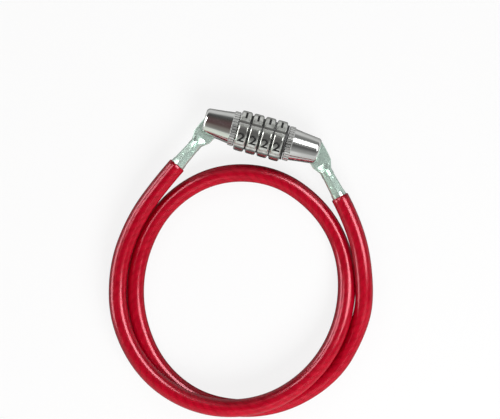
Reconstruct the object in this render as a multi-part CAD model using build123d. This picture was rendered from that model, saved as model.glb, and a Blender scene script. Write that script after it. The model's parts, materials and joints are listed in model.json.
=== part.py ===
from build123d import *
import math
import os

# Four-dial cable lock for luggage, lying flat on the plane z = 0 with its loop of cable in front.
# +X runs along the lock body, from the fixed cap on the left to the bolt's cap on the right.
# +Z is up, and the loop of cable lies towards -Y. The origin is under the middle of the body.
# All lengths are in millimetres and all angles in degrees.

# ---- driving dimensions: dials
dial_count = 4
pad_count = 5
dial_radius = 9.4
dial_width = 5.0
dial_gap = 0.6
dial_wall = 2.4
shoulder_width = 0.9
shoulder_drop = 1.4
valley_depth = 0.9
valley_radius = 2.1
pad_angle = 16.0

# ---- driving dimensions: gate rings inside the dials
lug_room = 2.8
gate_wall = 0.75
detent_radius = 1.4
detent_depth = 0.35
key_width = 1.2
key_height = 0.45
key_root = 0.3

# ---- driving dimensions: barrel, spacers, retaining ring
barrel_radius = 4.45
bolt_radius = 2.75
barrel_socket = 4.6
barrel_lip = 0.75
spacer_thickness = 0.5
washer_setback = 1.3
retainer_thickness = 0.9
retainer_groove_radius = 3.85
cross_pin_radius = 0.8
cross_pin_stand = 1.0
pin_recess = 0.4

# ---- driving dimensions: bolt
lug_tip_room = 0.4
lug_width = 2.2
lug_length = 2.0
bolt_nose = 1.2
bolt_chamfer = 0.6
bolt_tail = 3.5

# ---- driving dimensions: index spring
spring_thickness = 0.3
spring_width = 1.2
spring_seat = 0.55
hump_width = 2.0
hump_top = 1.1
hump_bite = 0.1
spring_tail = 1.2

# ---- driving dimensions: caps
cap_length = 15.7
collar_setback = 1.3
collar_width = 2.85
collar_chamfer = 0.35
collar_step = 0.7
cone_taper = 1.4
cone_end_fillet = 1.6
rib_count = 36
flute_radius = 0.5
flute_depth = 0.28
slot_depth = 9.8
slot_width = 2.4
pivot_inset = 3.4
pivot_radius = 1.2
pivot_cover = 2.4

# ---- driving dimensions: ferrules
blade_thickness = 2.0
blade_edge_break = 0.35
blade_radius = 4.8
blade_straight = 5.0
blade_shoulder = 8.0
blade_shoulder_half = 4.6
tube_offset = 1.1
neck_start = 8.2
neck_end = 11.6
neck_radius = 2.85
neck_step = 0.15
mouth_radius = 3.4
ferrule_reach = 25.0
rope_grip = 11.0
crimp_start = 14.2
crimp_length = 8.8
crimp_depth = 0.22
crimp_sides = 6
crease_depth = 0.9
crease_width = 1.3
crease_wheel_radius = 5.0
stake_radius = 0.6
stake_places = [15.6, 19.4]
left_swing = 64.0
right_swing = 46.5

# ---- driving dimensions: cable
sheath_radius = 4.1
rope_radius = 2.2
left_run = 12.0
right_run = 18.0
corner_share = 0.45

# ---- clearances
press_clearance = 0.05
running_clearance = 0.05
pivot_clearance = 0.08
rope_clearance = 0.1
side_clearance = 0.2
cap_clearance = 0.25
pin_end_clearance = 0.1
ring_clearance = 0.1
bolt_recess_clearance = 0.35
end_gap = 0.05
overcut = 1.0

# ---- places along the lock axis, worked out from the sizes above
axis_height = dial_radius
stack_length = dial_count * dial_width + (dial_count - 1) * dial_gap
middle_length = stack_length + retainer_thickness + ring_clearance + 2 * cap_clearance
body_length = 2 * cap_length + middle_length
left_end = -body_length / 2
right_end = body_length / 2
left_face = left_end + cap_length
right_face = right_end - cap_length
stack_start = left_face + cap_clearance
stack_end = stack_start + stack_length
dial_places = [stack_start + dial_width / 2 + i * (dial_width + dial_gap) for i in range(dial_count)]
retainer_start = stack_end + ring_clearance
barrel_start = left_face - barrel_socket
barrel_end = right_face + barrel_lip
bolt_recess = barrel_lip + bolt_recess_clearance
bolt_start = stack_start - bolt_nose
bolt_end = right_face + bolt_recess + bolt_tail
left_pivot = left_end + pivot_inset
right_pivot = right_end - pivot_inset

# ---- radii that pieces share, from the outside of the dials inwards
dial_bore_radius = dial_radius - dial_wall
gate_radius = dial_bore_radius - running_clearance
rim_bore_radius = gate_radius - gate_wall
lug_radius = rim_bore_radius - lug_tip_room
washer_radius = dial_radius - washer_setback
collar_radius = dial_radius - collar_setback
cone_base_radius = collar_radius - collar_step
cone_end_radius = cone_base_radius - cone_taper
barrel_bore_radius = bolt_radius + running_clearance
web_bore_radius = barrel_radius + running_clearance
notch_radius = lug_radius + side_clearance
notch_width = lug_width + 2 * side_clearance
rope_bore_radius = rope_radius + rope_clearance

pad_step = 360 / pad_count
lug_angle = 180.0
spring_angle = 0.0
spring_floor = barrel_radius - spring_seat
hump_radius = rim_bore_radius + hump_bite


# ---- small helpers; everything on the lock axis is built round the X axis and lifted at the end
def tube(outer, inner, start, end):
    """A ring or plain rod round the X axis."""
    section = Plane.YZ.offset(start) * Circle(outer)
    solid = extrude(section, amount=end - start)
    if inner > 0:
        hole = Plane.YZ.offset(start) * Circle(inner)
        solid -= extrude(hole, amount=end - start)
    return solid


def around(angle, solid):
    """Turn a solid made at the top of the axis by an angle, from +Z towards -Y."""
    return Rot(angle, 0, 0) * solid


def radial_bar(width, low, high, start, end):
    """A bar with its middle plane at the top of the axis, from radius low to high."""
    middle = ((start + end) / 2, 0, (low + high) / 2)
    return Pos(*middle) * Box(end - start, width, high - low)


def upright_pin(radius, x, low, high):
    """A pin along Z at x, from height low to high about the axis."""
    return Pos(x, 0, (low + high) / 2) * Cylinder(radius, high - low)


def lifted(solid, x=0.0):
    return Pos(x, 0, axis_height) * solid


def cone_radius(from_face):
    """The cap's outer radius at a distance from its collar face."""
    share = (from_face - collar_width) / (cap_length - collar_width)
    return cone_base_radius + share * (cone_end_radius - cone_base_radius)


# ---- dials
def dial():
    """Crowned number wheel with raised pads, finger valleys between them and a keyed bore."""
    half = dial_width / 2
    flat = half - shoulder_width
    foot = dial_radius - shoulder_drop
    outline = [
        Line((-half, dial_bore_radius), (-half, foot)),
        EllipticalCenterArc((-flat, foot), shoulder_width, shoulder_drop, 90, arc_size=90),
        Line((-flat, dial_radius), (flat, dial_radius)),
        EllipticalCenterArc((flat, foot), shoulder_width, shoulder_drop, 0, arc_size=90),
        Line((half, foot), (half, dial_bore_radius)),
        Line((half, dial_bore_radius), (-half, dial_bore_radius)),
    ]
    wheel = revolve(Plane.XZ * make_face(outline), Axis.X)
    valley_centre = dial_radius - valley_depth + valley_radius
    valley = Pos(0, 0, valley_centre) * Rot(0, 90, 0) * Cylinder(valley_radius, dial_width + overcut)
    keyway_width = key_width + side_clearance
    keyway_top = dial_bore_radius + key_height + side_clearance
    keyway = radial_bar(keyway_width, dial_bore_radius - overcut, keyway_top,
                        -half - overcut, half + overcut)
    cuts = []
    for i in range(pad_count):
        cuts.append(around(pad_angle + (i + 0.5) * pad_step, valley))
        cuts.append(around(pad_angle + i * pad_step, keyway))
    return wheel - cuts


def gate_ring():
    """Inner ring that turns with its dial: a room for one lug, and a web with the lug's gate."""
    half = dial_width / 2
    ring = tube(gate_radius, rim_bore_radius, -half, half)
    ring += tube(gate_radius, web_bore_radius, -half + lug_room, half)
    key = radial_bar(key_width, gate_radius - key_root, gate_radius + key_height, -half, half)
    ring += around(pad_angle, key)
    gate = radial_bar(notch_width, web_bore_radius - overcut, notch_radius, -half, half + overcut)
    detent_centre = rim_bore_radius + detent_depth - detent_radius
    detent = Pos(-half + (lug_room - overcut) / 2, 0, detent_centre)
    detent = detent * Rot(0, 90, 0) * Cylinder(detent_radius, lug_room + overcut)
    cuts = [around(lug_angle, gate)]
    for i in range(pad_count):
        cuts.append(around(spring_angle + i * pad_step, detent))
    return ring - cuts


def spacer():
    """Washer between two dials, notched for the lugs."""
    washer = tube(washer_radius, web_bore_radius, 0, spacer_thickness)
    gate = radial_bar(notch_width, web_bore_radius - overcut, notch_radius, -overcut,
                      spacer_thickness + overcut)
    return washer - around(lug_angle, gate)


# ---- barrel and what is on it
def barrel():
    """Fixed tube that the dials turn on, slotted underneath for the bolt's lugs."""
    solid = tube(barrel_radius, barrel_bore_radius, barrel_start, barrel_end)
    slot = radial_bar(lug_width + side_clearance, 0, barrel_radius + overcut, stack_start,
                      barrel_end + overcut)
    solid -= around(lug_angle, slot)
    groove_width = retainer_thickness + ring_clearance
    groove_start = retainer_start - ring_clearance / 2
    groove = tube(barrel_radius + overcut, retainer_groove_radius, groove_start,
                  groove_start + groove_width)
    spring_groove = radial_bar(
        spring_width + side_clearance, spring_floor - press_clearance, barrel_radius + overcut,
        spring_start() - side_clearance, spring_end() + side_clearance)
    pin_hole = upright_pin(cross_pin_radius + press_clearance, barrel_pin_place(),
                           -barrel_radius - overcut, barrel_radius + overcut)
    return solid - groove - around(spring_angle, spring_groove) - pin_hole


def barrel_pin_place():
    return (barrel_start + bolt_start) / 2


def barrel_pin():
    """Cross pin that holds the barrel in the left cap, driven in from underneath."""
    foot = pin_recess - cone_radius(left_face - barrel_pin_place())
    return upright_pin(cross_pin_radius, barrel_pin_place(), foot, barrel_radius - pin_end_clearance)


def retaining_ring():
    """Open ring in the barrel's end groove. Its gap lines up with the lug slot."""
    ring = tube(washer_radius, retainer_groove_radius + press_clearance, 0, retainer_thickness)
    gap = radial_bar(notch_width + 2 * side_clearance, 0, washer_radius + overcut, -overcut,
                     retainer_thickness + overcut)
    return Pos(retainer_start, 0, 0) * (ring - around(lug_angle, gap))


def hump_places():
    return [x - dial_width / 2 + lug_room / 2 for x in dial_places]


def spring_start():
    return hump_places()[0] - hump_width / 2 - spring_tail


def spring_end():
    return hump_places()[-1] + hump_width / 2 + spring_tail


def index_spring():
    """Leaf spring along the top of the barrel, with a hump that clicks into each gate ring."""
    line = [(spring_start(), spring_floor)]
    for x in hump_places():
        line.append((x - hump_width / 2, spring_floor))
        line.append((x - hump_top / 2, hump_radius - spring_thickness))
        line.append((x + hump_top / 2, hump_radius - spring_thickness))
        line.append((x + hump_width / 2, spring_floor))
    line.append((spring_end(), spring_floor))
    upper = [(x, z + spring_thickness) for x, z in reversed(line)]
    strip = Plane.XZ * make_face(Polyline(*line, *upper, close=True))
    return extrude(strip, amount=spring_width / 2, both=True)


# ---- bolt
def bolt():
    """Locking rod with one lug for each dial along its underside."""
    rod = tube(bolt_radius, 0, bolt_start, bolt_end)
    rod = chamfer(rod.edges().filter_by(GeomType.CIRCLE).sort_by(Axis.X)[0], bolt_chamfer)
    for x in dial_places:
        lug_end = x - dial_width / 2 + lug_room - side_clearance
        lug = radial_bar(lug_width, bolt_radius / 2, lug_radius + overcut, lug_end - lug_length, lug_end)
        lug &= tube(lug_radius, 0, lug_end - lug_length, lug_end)
        rod += around(lug_angle, lug)
    pin_hole = upright_pin(cross_pin_radius + press_clearance, bolt_pin_place(),
                           -bolt_radius - overcut, bolt_radius + overcut)
    return rod - pin_hole


def bolt_pin_place():
    return bolt_end - bolt_tail / 2


def bolt_pin():
    """Cross pin that holds the bolt in the right cap, driven in from underneath."""
    foot = pin_recess - cone_radius(bolt_pin_place() - right_face)
    return upright_pin(cross_pin_radius, bolt_pin_place(), foot, bolt_radius + cross_pin_stand)


# ---- caps
def cap_blank():
    """Tapered end cap with a fluted collar, its collar face at x = 0 and its slotted end at +X."""
    profile = Polyline(
        (0, 0),
        (0, collar_radius - collar_chamfer),
        (collar_chamfer, collar_radius),
        (collar_width - collar_chamfer, collar_radius),
        (collar_width, collar_radius - collar_chamfer),
        (collar_width, cone_base_radius),
        (cap_length, cone_end_radius),
        (cap_length, 0),
        close=True)
    face = make_face(profile)
    rim = face.vertices().sort_by(Axis.X)[-2:].sort_by(Axis.Y)[-1]
    face = fillet(rim, cone_end_fillet)
    solid = revolve(Plane.XZ * face, Axis.X)
    flute_centre = collar_radius - flute_depth + flute_radius
    flute = Pos(collar_width / 2, 0, flute_centre) * Rot(0, 90, 0) * Cylinder(flute_radius, collar_width)
    flutes = [around(i * 360 / rib_count, flute) for i in range(rib_count)]
    slot = Pos(cap_length, 0, 0) * Box(2 * slot_depth, 4 * collar_radius, slot_width)
    pin_hole = upright_pin(pivot_radius + press_clearance, cap_length - pivot_inset,
                           -collar_radius, pivot_top() + pin_end_clearance)
    return solid - flutes - slot - pin_hole


def pivot_top():
    """Height of the pivot pin's blind end above the axis."""
    return cone_radius(cap_length - pivot_inset) - pivot_cover


def pivot_pin():
    """Hinge pin of a ferrule, set in from underneath and hidden from above."""
    foot = pin_recess - cone_radius(cap_length - pivot_inset)
    return upright_pin(pivot_radius, 0, foot, pivot_top())


def left_cap():
    """Fixed cap: blank, turned to face -X, with the barrel's socket and cross-pin hole."""
    cap = Pos(left_face, 0, 0) * mirror(cap_blank(), Plane.YZ)
    socket = tube(barrel_radius + press_clearance, 0, barrel_start - end_gap, left_face + overcut)
    pin_hole = upright_pin(cross_pin_radius + press_clearance, barrel_pin_place(), -collar_radius, 0)
    return cap - socket - pin_hole


def right_cap():
    """Pull-off cap: blank with a recess for the barrel's end and a socket for the bolt's tail."""
    cap = Pos(right_face, 0, 0) * cap_blank()
    recess = tube(barrel_radius + bolt_recess_clearance, 0, right_face - overcut,
                  right_face + bolt_recess)
    socket = tube(bolt_radius + press_clearance, 0, right_face, bolt_end + end_gap)
    pin_hole = upright_pin(cross_pin_radius + press_clearance, bolt_pin_place(),
                           -collar_radius, bolt_radius + cross_pin_stand + pin_end_clearance)
    return cap - recess - socket - pin_hole


# ---- ferrules
def tube_radius(reach):
    """The ferrule tube's outer radius at a distance from the pivot."""
    share = (reach - neck_end) / (ferrule_reach - neck_end)
    return neck_radius + share * (mouth_radius - neck_radius)


def fan_blade():
    """Flat blade with a round end, straight sides, shoulders that fall to the neck, and broken edges."""
    upper = [
        (blade_straight, blade_radius),
        (blade_shoulder, blade_shoulder_half),
        (neck_end, neck_radius - neck_step),
    ]
    lower = [(x, -y) for x, y in upper]
    fan = make_face([
        ThreePointArc((0, blade_radius), (-blade_radius, 0), (0, -blade_radius)),
        Polyline((0, -blade_radius), *lower, *reversed(upper), (0, blade_radius)),
    ])
    blade = extrude(fan, amount=blade_thickness / 2, both=True)
    rims = blade.edges().group_by(Axis.Z)
    return chamfer(rims[0] + rims[-1], blade_edge_break)


def crimp_cut():
    """What one flat of the crimping die takes off the top of the tube, along the tube's taper."""
    crimp_end = crimp_start + crimp_length
    profile = Polyline(
        (crimp_start, tube_radius(crimp_start) - crimp_depth),
        (crimp_end, tube_radius(crimp_end) - crimp_depth),
        (crimp_end, 2 * mouth_radius),
        (crimp_start, 2 * mouth_radius),
        close=True)
    return extrude(Plane.XZ * make_face(profile), amount=mouth_radius, both=True)


def crease_cut():
    """A wheel with a sharp rim, which presses the fold into the neck where the tube is closed flat."""
    shoulder = crease_wheel_radius - crease_depth
    profile = Polyline(
        (0, -crease_width / 2),
        (shoulder, -crease_width / 2),
        (crease_wheel_radius, 0),
        (shoulder, crease_width / 2),
        (0, crease_width / 2),
        close=True)
    wheel = revolve(make_face(profile), Axis.Y)
    return Pos(neck_end, 0, neck_radius - crease_depth + crease_wheel_radius) * wheel


def ferrule():
    """Steel ferrule crimped on the cable: its pivot at the origin, and its tube along +X.

    The tube and the blade share a centre line, which passes the pivot at a small offset.
    """
    flat_end = Plane.YZ.offset(neck_start) * Ellipse(blade_shoulder_half - neck_step, blade_thickness / 2)
    round_end = Plane.YZ.offset(neck_end) * Circle(neck_radius)
    mouth = Plane.YZ.offset(ferrule_reach) * Circle(mouth_radius)
    solid = fan_blade() + loft([flat_end, round_end]) + loft([round_end, mouth])
    flat_step = 360 / crimp_sides
    for i in range(crimp_sides):
        solid -= around((i + 0.5) * flat_step, crimp_cut())
    for side in (0, 180):
        solid -= around(side, crease_cut())
    for place, turn in zip(stake_places, (-flat_step / 2, flat_step / 2)):
        stake = Pos(place, 0, tube_radius(place)) * Sphere(stake_radius)
        solid -= around(turn, stake)
    solid -= tube(rope_bore_radius, 0, ferrule_reach - rope_grip - end_gap, ferrule_reach + overcut)
    solid = Pos(0, tube_offset, 0) * solid
    return solid - Cylinder(pivot_radius + pivot_clearance, 2 * blade_thickness)


def swung(solid, pivot_x, heading):
    """Place a ferrule on its pivot, with its tube pointing at a heading from +X."""
    return Pos(pivot_x, 0, axis_height) * Rot(0, 0, heading) * solid


left_heading = 180 + left_swing
right_heading = -right_swing


def along(pivot_x, heading, reach):
    """A point on the centre line of a ferrule's tube."""
    turn = math.radians(heading)
    x = reach * math.cos(turn) - tube_offset * math.sin(turn)
    y = reach * math.sin(turn) + tube_offset * math.cos(turn)
    return (pivot_x + x, y, axis_height)


# ---- cable: one double loop on the floor, passing over itself once at the front
floor_level = sheath_radius
route = [
    (-46.2, -52.6, 8.4),
    (-48.4, -75.7, 8.0),
    (-40.9, -101.3, 8.8),
    (-20.2, -121.7, 11.1),
    (7.9, -128.1, 12.6),
    (35.0, -119.3, 12.3),
    (53.5, -98.2, 10.7),
    (59.8, -71.3, 7.8),
    (53.2, -43.7, floor_level),
    (36.0, -24.5, floor_level),
    (10.2, -15.0, floor_level),
    (-17.3, -21.9, floor_level),
    (-36.0, -42.9, floor_level),
    (-41.1, -70.3, floor_level),
    (-34.8, -96.1, floor_level),
    (-17.3, -117.8, floor_level),
    (8.7, -127.5, floor_level),
    (39.4, -120.2, floor_level),
    (61.1, -98.6, floor_level),
    (67.1, -74.1, floor_level),
    (65.5, -57.0, 8.9),
]


def cable_points(reach):
    """Corner points of the cable from one ferrule to the other, from a reach along each."""
    first = [along(left_pivot, left_heading, reach),
             along(left_pivot, left_heading, ferrule_reach + left_run)]
    last = [along(right_pivot, right_heading, ferrule_reach + right_run),
            along(right_pivot, right_heading, reach)]
    return first + route + last


def corner_radii(points):
    """Each corner's radius: a fixed share of its shorter run over the tangent of half its turn."""
    radii = []
    for a, b, c in zip(points, points[1:], points[2:]):
        before = Vector(*b) - Vector(*a)
        after = Vector(*c) - Vector(*b)
        half_turn = math.radians(before.get_angle(after)) / 2
        radii.append(corner_share * min(before.length, after.length) / math.tan(half_turn))
    return radii


def cable_tube(reach, outer, inner):
    """A tube along the cable's route, as straight runs joined by tangent arcs."""
    points = cable_points(reach)
    radii = corner_radii(cable_points(ferrule_reach))
    path = FilletPolyline(*points, radius=radii)
    start = Plane(origin=points[0], z_dir=path % 0)
    section = start * Circle(outer)
    if inner > 0:
        section -= start * Circle(inner)
    solid = sweep(section, path=path)
    area = math.pi * (outer ** 2 - inner ** 2)
    print(f"tube of radius {outer}: length {path.length:.1f}, volume {solid.volume:.1f}, "
          f"section times length {area * path.length:.1f}")
    return solid


def cable_sheath():
    """Soft jacket, which butts against both ferrules."""
    return cable_tube(ferrule_reach + end_gap, sheath_radius, rope_bore_radius)


def wire_rope():
    """Twisted steel rope inside the jacket, gripped in both ferrules."""
    return cable_tube(ferrule_reach - rope_grip, rope_radius, 0)


# ---- the lock, node by node
nodes = {
    "left_cap": lifted(left_cap()),
    "barrel": lifted(barrel()),
    "barrel_pin": lifted(barrel_pin()),
    "index_spring": lifted(index_spring()),
    "retaining_ring": lifted(retaining_ring()),
    "left_pivot_pin": lifted(pivot_pin(), left_pivot),
    "right_cap": lifted(right_cap()),
    "bolt": lifted(bolt()),
    "bolt_pin": lifted(bolt_pin()),
    "right_pivot_pin": lifted(pivot_pin(), right_pivot),
    "left_ferrule": swung(ferrule(), left_pivot, left_heading),
    "right_ferrule": swung(ferrule(), right_pivot, right_heading),
    "cable_sheath": cable_sheath(),
    "wire_rope": wire_rope(),
}
for number, place in enumerate(dial_places, start=1):
    nodes[f"dial_{number}"] = lifted(dial(), place)
    nodes[f"gate_ring_{number}"] = lifted(gate_ring(), place)
for number, place in enumerate(dial_places[1:], start=1):
    spacer_start = place - dial_width / 2 - (dial_gap + spacer_thickness) / 2
    nodes[f"spacer_{number}"] = lifted(spacer(), spacer_start)

print("corner radii:", [round(radius) for radius in corner_radii(cable_points(ferrule_reach))])
print("body length:", round(body_length, 2))

os.makedirs("parts", exist_ok=True)
for name, solid in nodes.items():
    export_step(solid, f"parts/{name}.step")
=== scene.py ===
"""Looks of the four-dial cable luggage lock: camera, light, cable, chrome, ferrules and numbers."""
import json
import math

import bmesh
import bpy
import numpy as np
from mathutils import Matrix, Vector


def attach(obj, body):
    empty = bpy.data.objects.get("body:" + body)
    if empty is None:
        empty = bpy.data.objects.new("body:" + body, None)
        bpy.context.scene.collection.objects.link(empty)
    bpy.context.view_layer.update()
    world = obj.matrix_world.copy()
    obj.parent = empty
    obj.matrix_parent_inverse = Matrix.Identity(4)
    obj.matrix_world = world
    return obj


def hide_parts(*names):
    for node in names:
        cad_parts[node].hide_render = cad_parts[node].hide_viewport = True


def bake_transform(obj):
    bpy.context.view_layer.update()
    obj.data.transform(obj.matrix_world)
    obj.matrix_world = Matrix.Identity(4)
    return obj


MM = 0.001

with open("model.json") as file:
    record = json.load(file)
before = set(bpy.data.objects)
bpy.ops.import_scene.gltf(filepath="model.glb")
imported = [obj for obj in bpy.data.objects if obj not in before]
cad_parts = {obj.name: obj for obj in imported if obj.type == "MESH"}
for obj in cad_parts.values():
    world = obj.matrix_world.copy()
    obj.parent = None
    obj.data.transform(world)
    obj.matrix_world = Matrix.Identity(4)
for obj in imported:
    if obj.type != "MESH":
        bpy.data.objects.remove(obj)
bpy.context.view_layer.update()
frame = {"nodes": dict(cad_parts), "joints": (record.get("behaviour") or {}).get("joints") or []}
joints = {joint["name"]: joint for joint in frame["joints"]}

# ---- sizes of the lock, in metres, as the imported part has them
DIAL_RADIUS = 9.4 * MM
DIAL_COUNT = 4
PAD_COUNT = 5
PAD_ANGLE = math.radians(16)
AXIS_HEIGHT = DIAL_RADIUS
SHEATH_RADIUS = 4.1 * MM
ROPE_RADIUS = 2.2 * MM
ROPE_BORE_RADIUS = 2.3 * MM
ROPE_GRIP = 11.0 * MM
FERRULE_REACH = 25.0 * MM
TUBE_OFFSET = 1.1 * MM
LEFT_RUN = 12.0 * MM
RIGHT_RUN = 18.0 * MM
LEFT_HEADING = math.radians(180 + 64)
RIGHT_HEADING = math.radians(-46.5)
END_GAP = 0.05 * MM
LIP = 0.35 * MM

# ---- the view: straight down on the lock, which lies turned in the picture
CAMERA_TURN = math.radians(15.3)
CAMERA_PLACE = (3.75 * MM, -34.0 * MM)
CAMERA_HEIGHT = 0.9
PICTURE_WIDTH = 231.2 * MM
PICTURE_LEVEL = 6.0 * MM
CAMERA_CLIP = (0.01, 20)

# ---- the cable's route between its end runs, in millimetres
FLOOR_LEVEL = 4.1
ROUTE = [
    (-46.2, -52.6, 8.4),
    (-48.4, -75.7, 8.0),
    (-40.9, -101.3, 8.8),
    (-20.2, -121.7, 11.1),
    (7.9, -128.1, 12.6),
    (35.0, -119.3, 12.3),
    (53.5, -98.2, 10.7),
    (59.8, -71.3, 7.8),
    (53.2, -43.7, FLOOR_LEVEL),
    (36.0, -24.5, FLOOR_LEVEL),
    (10.2, -15.0, FLOOR_LEVEL),
    (-17.3, -21.9, FLOOR_LEVEL),
    (-36.0, -42.9, FLOOR_LEVEL),
    (-41.1, -70.3, FLOOR_LEVEL),
    (-34.8, -96.1, FLOOR_LEVEL),
    (-17.3, -117.8, FLOOR_LEVEL),
    (8.7, -127.5, FLOOR_LEVEL),
    (39.4, -120.2, FLOOR_LEVEL),
    (61.1, -98.6, FLOOR_LEVEL),
    (67.1, -74.1, FLOOR_LEVEL),
    (65.5, -57.0, 8.9),
]
LINE_STEPS = 12
LINE_ORDER = 3
SHEATH_SIDES = 40
SHARP_EDGE = math.radians(50)

# ---- the cable's four stretches from the left ferrule: where they are cut, as shares of its
# length, and each one's name, the bodies at its two ends, a heading and the ferrule on it. The
# heading is nearly straight out from the ferrule's pivot. None is straight from start to end.
CABLE_CUTS = [0.235, 0.52, 0.77]
STRETCHES = [
    ("left", "left_cable_end", "lock_body", math.radians(-70), ["left_ferrule"]),
    ("front", "lock_body", "lock_body", None, []),
    ("slide", "lock_body", "bolt_unit", None, []),
    ("right", "bolt_unit", "right_cable_end", math.radians(110), ["right_ferrule"]),
]

# ---- the rope: strands laid round a core, which take one full turn in a lay
STRANDS = 6
STRAND_SIDES = 8
ROPE_LAY = 26 * MM

# ---- the painted numbers
NUMBER_HEIGHT = 4.4 * MM
NUMBER_STRETCH = 1.2
NUMBER_SHIFT = 0.8 * MM
NUMBER_RELIEF = 0.03 * MM
NUMBER_DEPTH = 0.12 * MM
NUMBER_STRIPS = 14
NUMBER_BOLDNESS = 0.021
NUMBER_CURVE_STEPS = 6

# ---- the vinyl: its red from between the rope's strands to their crowns, the dark of its specks
# and clouds by their noise, its roughness and the tint of its highlights
VINYL_REDS = [(0.0, (0.42, 0.0, 0.011)), (0.5, (0.49, 0.0, 0.015)), (1.0, (0.52, 0.0005, 0.018))]
VINYL_SPECKS = [(0.32, 0.84), (0.62, 1.0)]
VINYL_CLOUDS = [(0.3, 0.80), (0.7, 1.0)]
VINYL_ROUGHNESS = [(0.35, 0.18), (0.7, 0.26)]
VINYL_GLINT = (1.0, 0.48, 0.56, 1)

# ---- painted shade on the dials' shoulders: dark up to the sunk radius and clear from the proud one
DIAL_RECESS_SHADE = {"sunk": 8.0 * MM, "proud": 8.5 * MM, "shade": 0.12}

# ---- bands of the light tent by the angle from straight up; minus is behind the lock
TENT_LEFT = [
    (-105, 0.50), (-86, 0.50), (-76, 0.13), (-60, 0.045), (-42, (0.075, 0.058, 0.055)),
    (-20, (0.11, 0.065, 0.068)), (6, (0.11, 0.070, 0.068)), (16, (0.19, 0.16, 0.15)),
    (38, (0.25, 0.24, 0.22)), (48, 0.32), (54, (0.75, 0.78, 0.72)), (75, (0.85, 0.92, 0.83)),
    (105, (0.62, 0.70, 0.62)),
]
TENT_RIGHT = [
    (-105, 0.45), (-86, 0.40), (-76, 0.20), (-60, 0.20), (-42, 0.30), (-22, 0.40), (-12, 0.20),
    (-3, 0.12), (6, 0.10), (16, 0.20), (30, 0.36), (46, 0.42), (54, 0.74), (80, 0.70), (105, 0.60),
]
TENT_MIDDLE = [
    (-105, 0.50), (-86, 0.50), (-76, 0.55), (-32, 0.55), (-20, 0.20), (-12, 0.10), (12, 0.08),
    (22, 0.13), (36, 0.22), (46, 0.32), (54, 0.72), (80, 0.82), (105, 0.80),
]
TENT_CROSSOVER = 2.6
TENT_MIDDLE_FADE = 5.0

# ---- the floor: its own greys, and how far it glows to the camera and, from the near to the far
# end of the reach, in gloss
FLOOR_SIZE = 6
FLOOR_GREY = (0.22, 0.22, 0.22)
FLOOR_GREY_TO_CAMERA = (0.9, 0.9, 0.9)
FLOOR_ROUGHNESS = 0.9
FLOOR_TO_CAMERA = 0.84
FLOOR_TO_GLOSS = 0.6
FLOOR_DIM_REACH = (8 * MM, 30 * MM)

# ---- the lamps: name, heading, tilt, size and radiance
LIGHT_TARGET = (8 * MM, -60 * MM, 0)
LIGHT_DISTANCE = 0.9
WINDOWS = [
    ("window", 45, 41, (0.75, 0.42), 16.0),
    ("low_window", 180, 76, (1.0, 0.36), 9.0),
    ("left_window", 155, 44, (0.5, 0.26), 11.0),
]
METAL_GLINT = 4.0               # the windows' radiance in the caps, the dials and the ferrules
FERRULE_WINDOWS = [
    ("left_ferrule_window", 138, 34, (0.5, 0.5), 3.2),
    ("right_ferrule_window", 36, 34, (0.5, 0.5), 3.2),
]
LAMPS = [
    ("front_light", -45, 48, (0.6, 0.5), 8.8),
    ("back_light", 135, 50, (0.6, 0.5), 1.8),
]


# ---- camera, floor and light
def make_camera():
    data = bpy.data.cameras.new("camera")
    camera = bpy.data.objects.new("camera", data)
    bpy.context.scene.collection.objects.link(camera)
    camera.location = (*CAMERA_PLACE, PICTURE_LEVEL + CAMERA_HEIGHT)
    camera.rotation_euler = (0, 0, CAMERA_TURN)
    data.sensor_fit = "HORIZONTAL"
    data.angle = 2 * math.atan(PICTURE_WIDTH / 2 / CAMERA_HEIGHT)
    data.clip_start, data.clip_end = CAMERA_CLIP
    bpy.context.scene.camera = camera


def node_material(name):
    """A new material with its nodes, links and principled shader."""
    material = bpy.data.materials.new(name)
    material.use_nodes = True
    tree = material.node_tree
    return material, tree.nodes, tree.links, tree.nodes["Principled BSDF"]


def feed(links, socket, value):
    """Link a socket, or give a colour or a plain number, to an input."""
    if isinstance(value, bpy.types.NodeSocket):
        links.new(value, socket)
    elif isinstance(value, tuple):
        socket.default_value = (*value, 1)
    else:
        socket.default_value = value


def math_node(nodes, links, operation, *values):
    node = nodes.new("ShaderNodeMath")
    node.operation = operation
    for socket, value in zip(node.inputs, values):
        feed(links, socket, value)
    return node.outputs[0]


def ramp_node(nodes, links, value, stops):
    """A colour ramp over a value; each stop is (place, colour), and one number is a grey."""
    node = nodes.new("ShaderNodeValToRGB")
    elements = node.color_ramp.elements
    elements[1].position = stops[1][0]
    elements[0].position = stops[0][0]
    for place, colour in stops[2:]:
        elements.new(place)
    for element, (place, colour) in zip(elements, stops):
        element.color = (*colour, 1) if isinstance(colour, tuple) else (colour, colour, colour, 1)
    links.new(value, node.inputs["Fac"])
    return node.outputs["Color"]


def mix_colours(nodes, links, share, first, second, blend="MIX"):
    node = nodes.new("ShaderNodeMix")
    node.data_type = "RGBA"
    node.blend_type = blend
    feed(links, node.inputs[0], share)
    feed(links, node.inputs[6], first)
    feed(links, node.inputs[7], second)
    return node.outputs[2]


def noise_node(nodes, links, scale, detail=4, stretch=(1, 1, 1)):
    place = nodes.new("ShaderNodeTexCoord")
    mapping = nodes.new("ShaderNodeMapping")
    mapping.inputs["Scale"].default_value = stretch
    links.new(place.outputs["Object"], mapping.inputs["Vector"])
    noise = nodes.new("ShaderNodeTexNoise")
    noise.inputs["Scale"].default_value = scale
    noise.inputs["Detail"].default_value = detail
    links.new(mapping.outputs[0], noise.inputs["Vector"])
    return noise.outputs["Fac"]


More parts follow.
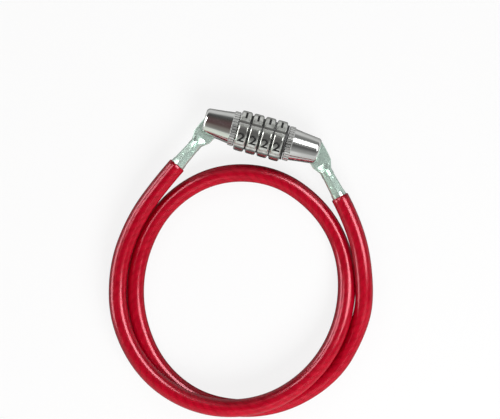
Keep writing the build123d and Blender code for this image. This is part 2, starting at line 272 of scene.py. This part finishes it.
def make_floor():
    """A white surface with the object's soft shadow left in it, which is dim close by in gloss."""
    bpy.ops.mesh.primitive_plane_add(size=FLOOR_SIZE, location=(0, 0, 0))
    floor = bpy.context.object
    floor.name = "floor"
    material, nodes, links, shader = node_material("pale_floor")
    rays = nodes.new("ShaderNodeLightPath")
    tone = mix_colours(nodes, links, rays.outputs["Is Camera Ray"], FLOOR_GREY,
                       FLOOR_GREY_TO_CAMERA)
    links.new(tone, shader.inputs["Base Color"])
    shader.inputs["Roughness"].default_value = FLOOR_ROUGHNESS
    shader.inputs["Specular IOR Level"].default_value = 0
    white = nodes.new("ShaderNodeEmission")
    white.inputs["Color"].default_value = (1, 1, 1, 1)
    to_camera = math_node(nodes, links, "MULTIPLY", rays.outputs["Is Camera Ray"],
                          FLOOR_TO_CAMERA)
    far = nodes.new("ShaderNodeMapRange")
    links.new(rays.outputs["Ray Length"], far.inputs["Value"])
    far.inputs["From Min"].default_value, far.inputs["From Max"].default_value = FLOOR_DIM_REACH
    far.inputs["To Max"].default_value = FLOOR_TO_GLOSS
    to_gloss = math_node(nodes, links, "MULTIPLY", rays.outputs["Is Glossy Ray"],
                         far.outputs["Result"])
    share = math_node(nodes, links, "ADD", to_camera, to_gloss)
    mix = nodes.new("ShaderNodeMixShader")
    links.new(share, mix.inputs["Fac"])
    links.new(shader.outputs[0], mix.inputs[1])
    links.new(white.outputs[0], mix.inputs[2])
    links.new(mix.outputs[0], nodes["Material Output"].inputs["Surface"])
    floor.data.materials.append(material)


def make_world():
    """A light tent with long bands along the lock, and white to the camera."""
    world = bpy.data.worlds.new("tent")
    bpy.context.scene.world = world
    world.use_nodes = True
    nodes, links = world.node_tree.nodes, world.node_tree.links
    nodes.clear()
    place = nodes.new("ShaderNodeTexCoord")
    split = nodes.new("ShaderNodeSeparateXYZ")
    links.new(place.outputs["Generated"], split.inputs[0])
    forward = math_node(nodes, links, "MULTIPLY", split.outputs["Y"], -1.0)
    angle = math_node(nodes, links, "ARCTAN2", forward, split.outputs["Z"])
    turn = math_node(nodes, links, "MULTIPLY_ADD", angle, 1 / (2 * math.pi), 0.5)
    left, right, middle = [
        ramp_node(nodes, links, turn, [(degrees / 360 + 0.5, colour) for degrees, colour in stops])
        for stops in (TENT_LEFT, TENT_RIGHT, TENT_MIDDLE)]
    side = nodes.new("ShaderNodeClamp")
    rightness = math_node(nodes, links, "MULTIPLY_ADD", split.outputs["X"], TENT_CROSSOVER, 0.5)
    links.new(rightness, side.inputs[0])
    centre = nodes.new("ShaderNodeClamp")
    aside = math_node(nodes, links, "ABSOLUTE", split.outputs["X"])
    middleness = math_node(nodes, links, "MULTIPLY_ADD", aside, -TENT_MIDDLE_FADE, 1.0)
    links.new(middleness, centre.inputs[0])
    tent = nodes.new("ShaderNodeBackground")
    sides = mix_colours(nodes, links, side.outputs[0], left, right)
    links.new(mix_colours(nodes, links, centre.outputs[0], sides, middle), tent.inputs["Color"])
    white = nodes.new("ShaderNodeBackground")
    white.inputs["Color"].default_value = (1, 1, 1, 1)
    rays = nodes.new("ShaderNodeLightPath")
    mix = nodes.new("ShaderNodeMixShader")
    links.new(rays.outputs["Is Camera Ray"], mix.inputs["Fac"])
    links.new(tent.outputs[0], mix.inputs[1])
    links.new(white.outputs[0], mix.inputs[2])
    out = nodes.new("ShaderNodeOutputWorld")
    links.new(mix.outputs[0], out.inputs[0])


def soft_light(name, heading, tilt, size, radiance, glossy, pieces=(), linked="EXCLUDE"):
    """A soft box at a heading from +X and a tilt from straight up, facing the middle of the loop.

    It either draws highlights or lights the object, so that each can be set by itself. It is kept
    off the pieces that it would dazzle, or kept to some pieces alone.
    """
    data = bpy.data.lights.new(name, "AREA")
    data.shape = "RECTANGLE"
    data.size, data.size_y = size
    data.energy = math.pi * radiance * size[0] * size[1]
    light = bpy.data.objects.new(name, data)
    bpy.context.scene.collection.objects.link(light)
    heading, tilt = math.radians(heading), math.radians(tilt)
    level = math.sin(tilt)
    away = Vector((level * math.cos(heading), level * math.sin(heading), math.cos(tilt)))
    light.location = Vector(LIGHT_TARGET) + away * LIGHT_DISTANCE
    light.rotation_euler = (-away).to_track_quat("-Z", "Y").to_euler()
    light.visible_glossy, light.visible_diffuse = glossy, not glossy
    if pieces:
        receivers = bpy.data.collections.new(name)
        light.light_linking.receiver_collection = receivers
        for i, piece in enumerate(pieces):
            receivers.objects.link(piece)
            receivers.collection_objects[i].light_linking.link_state = linked


def make_lights():
    """Windows for the highlights, gentler ones in the metal, and two lamps to light the object."""
    ferrules = [frame["nodes"][name] for name in ("left_ferrule", "right_ferrule")]
    shells = [frame["nodes"][name] for name in ("left_cap", "right_cap")]
    shells += [frame["nodes"][f"dial_{i}"] for i in range(1, DIAL_COUNT + 1)]
    for name, heading, tilt, size, radiance in WINDOWS:
        soft_light(name, heading, tilt, size, radiance, True, shells + ferrules)
        soft_light(f"{name}_in_metal", heading, tilt, size, METAL_GLINT, True, shells + ferrules,
                   "INCLUDE")
    for window in FERRULE_WINDOWS:
        soft_light(*window, True, ferrules, "INCLUDE")
    for lamp in LAMPS:
        soft_light(*lamp, False)


# ---- materials
def add_bump(nodes, links, shader, height, strength, distance):
    bump = nodes.new("ShaderNodeBump")
    bump.inputs["Strength"].default_value = strength
    bump.inputs["Distance"].default_value = distance
    links.new(height, bump.inputs["Height"])
    links.new(bump.outputs[0], shader.inputs["Normal"])


def red_vinyl():
    """Clear crimson vinyl with the twisted rope just showing through it, under a glossy skin."""
    material, nodes, links, shader = node_material("red_vinyl")
    uv = nodes.new("ShaderNodeUVMap")
    uv.uv_map = "round_and_along"
    split = nodes.new("ShaderNodeSeparateXYZ")
    links.new(uv.outputs[0], split.inputs[0])
    phase = math_node(nodes, links, "MULTIPLY_ADD", split.outputs["Y"], -1 / ROPE_LAY,
                      split.outputs["X"])
    turn = math_node(nodes, links, "MULTIPLY", phase, STRANDS * math.pi)
    wave = math_node(nodes, links, "SINE", turn)
    crown = math_node(nodes, links, "ABSOLUTE", wave)
    grain = noise_node(nodes, links, 1600, 3)
    blotch = noise_node(nodes, links, 260, 4)
    rope = ramp_node(nodes, links, crown, VINYL_REDS)
    specks = ramp_node(nodes, links, grain, VINYL_SPECKS)
    clouds = ramp_node(nodes, links, blotch, VINYL_CLOUDS)
    speckled = mix_colours(nodes, links, 1.0, rope, specks, "MULTIPLY")
    colour = mix_colours(nodes, links, 1.0, speckled, clouds, "MULTIPLY")
    links.new(colour, shader.inputs["Base Color"])
    links.new(ramp_node(nodes, links, blotch, VINYL_ROUGHNESS), shader.inputs["Roughness"])
    shader.inputs["Specular IOR Level"].default_value = 0.5
    shader.inputs["Specular Tint"].default_value = VINYL_GLINT
    add_bump(nodes, links, shader, grain, 0.15, 0.1 * MM)
    return material


def recess_shade(nodes, links, sunk, proud, shade):
    """Painted shade by distance from the lock's axis: the shade where it is sunk, white where
    proud.
    """
    place = nodes.new("ShaderNodeTexCoord")
    centred = nodes.new("ShaderNodeVectorMath")
    centred.operation = "MULTIPLY_ADD"
    centred.inputs[1].default_value = (0, 1, 1)
    centred.inputs[2].default_value = (0, 0, -AXIS_HEIGHT)
    links.new(place.outputs["Object"], centred.inputs[0])
    radius = nodes.new("ShaderNodeVectorMath")
    radius.operation = "LENGTH"
    links.new(centred.outputs["Vector"], radius.inputs[0])
    grey = nodes.new("ShaderNodeMapRange")
    for socket, value in zip(grey.inputs, (radius.outputs["Value"], sunk, proud, shade, 1)):
        feed(links, socket, value)
    return grey.outputs[0]


def metal(name, low, high, gloss, scale, stretch=(1, 1, 1), metallic=1.0, relief=0.0, recess=None):
    """Metal whose colour and gloss wander with a noise, which may be drawn out into brushing.

    With a recess, shade is painted into its colour where it lies sunk, in the grooves.
    """
    material, nodes, links, shader = node_material(name)
    noise = noise_node(nodes, links, scale, 5, stretch)
    colour = ramp_node(nodes, links, noise, [(0.32, low), (0.68, high)])
    # painted shade: the colour is darkened where the surface lies sunk near the axis
    if recess:
        painted_shade = recess_shade(nodes, links, **recess)
        colour = mix_colours(nodes, links, 1.0, colour, painted_shade, "MULTIPLY")
    links.new(colour, shader.inputs["Base Color"])
    roughness = ramp_node(nodes, links, noise, [(0.3, gloss[1]), (0.7, gloss[0])])
    links.new(roughness, shader.inputs["Roughness"])
    shader.inputs["Metallic"].default_value = metallic
    if relief:
        add_bump(nodes, links, shader, noise, 0.5, relief)
    return material


def dress(material, *names):
    for name in names:
        slots = frame["nodes"][name].material_slots
        if len(slots):
            slots[0].material = material
        else:
            frame["nodes"][name].data.materials.append(material)


def dress_parts():
    dial_chrome = metal("dial_chrome", (0.50, 0.51, 0.48), (0.82, 0.84, 0.80), (0.09, 0.22), 620,
                        metallic=0.95, relief=0.003 * MM, recess=DIAL_RECESS_SHADE)
    cap_chrome = metal("cap_chrome", (0.64, 0.65, 0.63), (0.84, 0.85, 0.83), (0.06, 0.20), 420,
                       (0.12, 1, 1), relief=0.004 * MM)
    zinc = metal("zinc_plate", (0.52, 0.68, 0.60), (0.74, 0.92, 0.82), (0.18, 0.30), 500,
                 metallic=0.7, relief=0.002 * MM)
    steel = metal("turned_steel", (0.42, 0.43, 0.44), (0.62, 0.63, 0.64), (0.2, 0.4), 500,
                  (6, 1, 1), relief=0.01 * MM)
    brass = metal("brass", (0.55, 0.42, 0.18), (0.72, 0.57, 0.28), (0.2, 0.4), 500, (6, 1, 1))
    black = metal("black_plastic", 0.012, 0.03, (0.45, 0.65), 700, metallic=0.0, relief=0.02 * MM)
    dials = range(1, DIAL_COUNT + 1)
    dress(cap_chrome, "left_cap", "right_cap")
    dress(dial_chrome, *[f"dial_{i}" for i in dials])
    dress(zinc, "left_ferrule", "right_ferrule")
    dress(steel, "barrel", "bolt", "barrel_pin", "bolt_pin", "index_spring", "left_pivot_pin",
          "right_pivot_pin")
    dress(brass, *[f"gate_ring_{i}" for i in dials])
    dress(black, "retaining_ring", *[f"spacer_{i}" for i in range(1, DIAL_COUNT)])


# ---- the cable's line
def heading_point(pivot, heading, reach):
    """A point on the centre line of a ferrule's tube, which passes its pivot at a small offset."""
    x = reach * math.cos(heading) - TUBE_OFFSET * math.sin(heading)
    y = reach * math.sin(heading) + TUBE_OFFSET * math.cos(heading)
    return Vector((pivot[0] + x, pivot[1] + y, AXIS_HEIGHT))


def route_points(reach):
    left = joints["left_ferrule_swing"]["pos_m"]
    right = joints["right_ferrule_swing"]["pos_m"]
    first = [heading_point(left, LEFT_HEADING, reach),
             heading_point(left, LEFT_HEADING, FERRULE_REACH + LEFT_RUN)]
    last = [heading_point(right, RIGHT_HEADING, FERRULE_REACH + RIGHT_RUN),
            heading_point(right, RIGHT_HEADING, reach)]
    return first + [Vector(point) * MM for point in ROUTE] + last


def spline_line(points):
    """Points read from a smooth curve that has these control points."""
    data = bpy.data.curves.new("line", "CURVE")
    data.dimensions = "3D"
    data.resolution_u = LINE_STEPS
    spline = data.splines.new("NURBS")
    spline.points.add(len(points) - 1)
    for knot, point in zip(spline.points, points):
        knot.co = (*point, 1)
    spline.order_u = LINE_ORDER
    spline.use_endpoint_u = True
    holder = bpy.data.objects.new("line", data)
    bpy.context.scene.collection.objects.link(holder)
    bpy.context.view_layer.update()
    mesh = bpy.data.meshes.new_from_object(holder)
    line = np.array([vertex.co for vertex in mesh.vertices])
    bpy.data.objects.remove(holder)
    bpy.data.meshes.remove(mesh)
    return line


class Line:
    """A line of points with the length to each and two directions square to it that hardly turn."""

    def __init__(self, points):
        self.points = points
        steps = np.linalg.norm(np.diff(points, axis=0), axis=1)
        self.along = np.concatenate([[0], np.cumsum(steps)])
        self.length = float(self.along[-1])
        ahead = np.gradient(points, axis=0)
        ahead /= np.linalg.norm(ahead, axis=1)[:, None]
        self.side = np.zeros_like(points)
        self.side[0] = np.cross(ahead[0], (0, 0, 1))
        self.side[0] /= np.linalg.norm(self.side[0])
        for i in range(1, len(points)):
            carried = self.side[i - 1] - ahead[i] * (self.side[i - 1] @ ahead[i])
            self.side[i] = carried / np.linalg.norm(carried)
        self.up = np.cross(ahead, self.side)

    def index(self, share):
        return int(np.searchsorted(self.along, share * self.length))

    def ring(self, i, radii, angles):
        """Points round the line at point i."""
        return (self.points[i] + np.outer(np.cos(angles) * radii, self.side[i])
                + np.outer(np.sin(angles) * radii, self.up[i]))


def new_piece(name, vertices, faces):
    mesh = bpy.data.meshes.new(name)
    mesh.from_pydata([tuple(vertex) for vertex in vertices], [], faces)
    mesh.polygons.foreach_set("use_smooth", [True] * len(mesh.polygons))
    mesh.update()
    piece = bpy.data.objects.new(name, mesh)
    bpy.context.scene.collection.objects.link(piece)
    return piece


def skin(name, rings, runs, closed):
    """A skin over rings of points, with a UV map of turns round it and metres along it."""
    count, sides = len(rings), len(rings[0])
    faces, corners = [], []
    for i in range(count - 1 + closed):
        n = (i + 1) % count
        for j in range(sides):
            k = (j + 1) % sides
            faces.append((i * sides + j, i * sides + k, n * sides + k, n * sides + j))
            here, there = j / sides, (j + 1) / sides
            corners += [(here, runs[i]), (there, runs[i]), (there, runs[n]), (here, runs[n])]
    if not closed:
        for ring, order in ((0, range(sides - 1, -1, -1)), (count - 1, range(sides))):
            faces.append(tuple(ring * sides + j for j in order))
            corners += [(j / sides, runs[ring]) for j in order]
    piece = new_piece(name, np.concatenate(rings), faces)
    layer = piece.data.uv_layers.new(name="round_and_along")
    layer.data.foreach_set("uv", np.array(corners, dtype=float).ravel())
    piece.data.set_sharp_from_angle(angle=SHARP_EDGE)
    return piece


def sheath_piece(name, line, first, last):
    """One stretch of the jacket with its bore, and a small lip where it meets a ferrule."""
    angles = np.arange(SHEATH_SIDES) * 2 * math.pi / SHEATH_SIDES
    order = range(first, last + 1)
    outer = [line.ring(i, SHEATH_RADIUS, angles) for i in order]
    inner = [line.ring(i, ROPE_BORE_RADIUS, angles) for i in order]
    runs = [line.along[i] for i in order]
    outer_runs = list(runs)
    points, along = line.points, line.along
    ends = len(points) - 1
    if first == 0:
        inward = (points[1] - points[0]) / (along[1] - along[0])
        outer[0] = outer[0] + inward * LIP
        outer.insert(0, line.ring(0, SHEATH_RADIUS - LIP, angles))
        outer_runs.insert(0, runs[0])
    if last == ends:
        inward = (points[ends - 1] - points[ends]) / (along[ends] - along[ends - 1])
        outer[-1] = outer[-1] + inward * LIP
        outer.append(line.ring(ends, SHEATH_RADIUS - LIP, angles))
        outer_runs.append(runs[-1])
    return skin(name, outer + inner[::-1], outer_runs + runs[::-1], True)


def rope_piece(name, line, first, last):
    """One stretch of the twisted rope: strands round a core, drawn as one lobed tube."""
    sides = STRANDS * STRAND_SIDES
    angles = np.arange(sides) * 2 * math.pi / sides
    strand_radius = ROPE_RADIUS / 3
    ring_radius = ROPE_RADIUS - strand_radius
    lobe = (angles + math.pi / STRANDS) % (2 * math.pi / STRANDS) - math.pi / STRANDS
    across = ring_radius * np.sin(lobe)
    radii = ring_radius * np.cos(lobe) + np.sqrt(np.maximum(strand_radius ** 2 - across ** 2, 0))
    order = range(first, last + 1)
    rings = [line.ring(i, radii, angles + 2 * math.pi * line.along[i] / ROPE_LAY) for i in order]
    return skin(name, rings, [line.along[i] for i in order], False)


def bend(piece, start):
    """Bake a piece's place into its mesh; the piece is not bent and stays on no body."""
    start = Vector(start)
    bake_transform(piece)


def make_cable():
    """The cable in four stretches: the front one rides on the lock body, the other three stay put.
    """
    line = Line(spline_line(route_points(FERRULE_REACH + END_GAP)))
    left = joints["left_ferrule_swing"]["pos_m"]
    right = joints["right_ferrule_swing"]["pos_m"]
    grip_start = heading_point(left, LEFT_HEADING, FERRULE_REACH - ROPE_GRIP)
    grip_end = heading_point(right, RIGHT_HEADING, FERRULE_REACH - ROPE_GRIP)
    rope_line = Line(np.vstack([grip_start, line.points, grip_end]))
    ends = len(line.points) - 1
    cuts = [0, *[line.index(share) for share in CABLE_CUTS], ends]
    red = red_vinyl()
    steel = metal("rope_steel", 0.32, 0.62, (0.3, 0.45), 1500)
    for (name, near, far, heading, ferrule), first, last in zip(STRETCHES, cuts, cuts[1:]):
        jacket = sheath_piece(f"{name}_sheath", line, first, last)
        core = rope_piece(f"{name}_rope", rope_line, first + (first > 0), last + 1 + (last == ends))
        for piece, material, slot, node in ((jacket, red, "red_sheath", "cable_sheath"),
                                            (core, steel, "steel_rope", "wire_rope")):
            piece.data.materials.append(material)
            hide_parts(node)
            if near == far:
                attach(piece, near)
            else:
                bend(piece, line.points[first])
    print("cable line length", round(line.length / MM, 1), "mm")


# ---- the numbers on the dials
def number_outline(text):
    """A flat number of the right height, centred, cut into strips across so that it can wrap."""
    data = bpy.data.curves.new("number", "FONT")
    data.body = text
    data.offset = NUMBER_BOLDNESS
    data.resolution_u = NUMBER_CURVE_STEPS
    holder = bpy.data.objects.new("number", data)
    bpy.context.scene.collection.objects.link(holder)
    bpy.context.view_layer.update()
    flat = bpy.data.meshes.new_from_object(holder)
    bpy.data.objects.remove(holder)
    shape = bmesh.new()
    shape.from_mesh(flat)
    bpy.data.meshes.remove(flat)
    xs = [vertex.co.x for vertex in shape.verts]
    ys = [vertex.co.y for vertex in shape.verts]
    scale = NUMBER_HEIGHT / (max(ys) - min(ys))
    for vertex in shape.verts:
        vertex.co.x = (vertex.co.x - (min(xs) + max(xs)) / 2) * scale * NUMBER_STRETCH
        vertex.co.y = (vertex.co.y - (min(ys) + max(ys)) / 2) * scale
        vertex.co.z = 0
    for i in range(1, NUMBER_STRIPS):
        level = (i / NUMBER_STRIPS - 0.5) * NUMBER_HEIGHT
        everything = shape.verts[:] + shape.edges[:] + shape.faces[:]
        bmesh.ops.bisect_plane(shape, geom=everything, plane_co=(0, level, 0), plane_no=(0, 1, 0))
    return shape


def settle(elements, place):
    """Put a mesh's elements in the order of their places, so that each run writes the same mesh."""
    ranks = {element: rank for rank, element in enumerate(sorted(elements, key=place))}
    elements.sort(key=ranks.get)


def number_piece(name, text, place_x, turn):
    """A painted number wrapped on its pad; turn is the pad's angle from the top to the front."""
    shape = number_outline(text)
    raised = bmesh.ops.extrude_face_region(shape, geom=shape.faces[:])["geom"]
    raised = {item for item in raised if isinstance(item, bmesh.types.BMVert)}
    for vertex in shape.verts:
        radius = DIAL_RADIUS + (NUMBER_RELIEF if vertex in raised else -NUMBER_DEPTH)
        angle = turn + (NUMBER_SHIFT - vertex.co.y) / DIAL_RADIUS
        vertex.co = (place_x + vertex.co.x, -radius * math.sin(angle),
                     AXIS_HEIGHT + radius * math.cos(angle))
    bmesh.ops.recalc_face_normals(shape, faces=shape.faces[:])
    settle(shape.verts, lambda vertex: tuple(vertex.co))
    settle(shape.faces, lambda face: tuple(face.calc_center_median()))
    mesh = bpy.data.meshes.new(name)
    shape.to_mesh(mesh)
    shape.free()
    piece = bpy.data.objects.new(name, mesh)
    bpy.context.scene.collection.objects.link(piece)
    return piece


def make_numbers():
    paint = metal("number_paint", 0.003, 0.010, (0.5, 0.7), 900, metallic=0.0)
    paint.node_tree.nodes["Principled BSDF"].inputs["Specular IOR Level"].default_value = 0.2
    for dial in range(1, DIAL_COUNT + 1):
        place_x = joints[f"dial_{dial}_turn"]["pos_m"][0]
        for pad in range(PAD_COUNT):
            turn = PAD_ANGLE + (pad - 1) * 2 * math.pi / PAD_COUNT
            piece = number_piece(f"number_{dial}_{pad + 1}", str(pad + 1), place_x, turn)
            piece.data.materials.append(paint)
            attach(piece, f"number_wheel_{dial}")


make_camera()
make_floor()
make_world()
make_lights()
dress_parts()
make_cable()
make_numbers()

bpy.context.scene.view_settings.view_transform = "Standard"
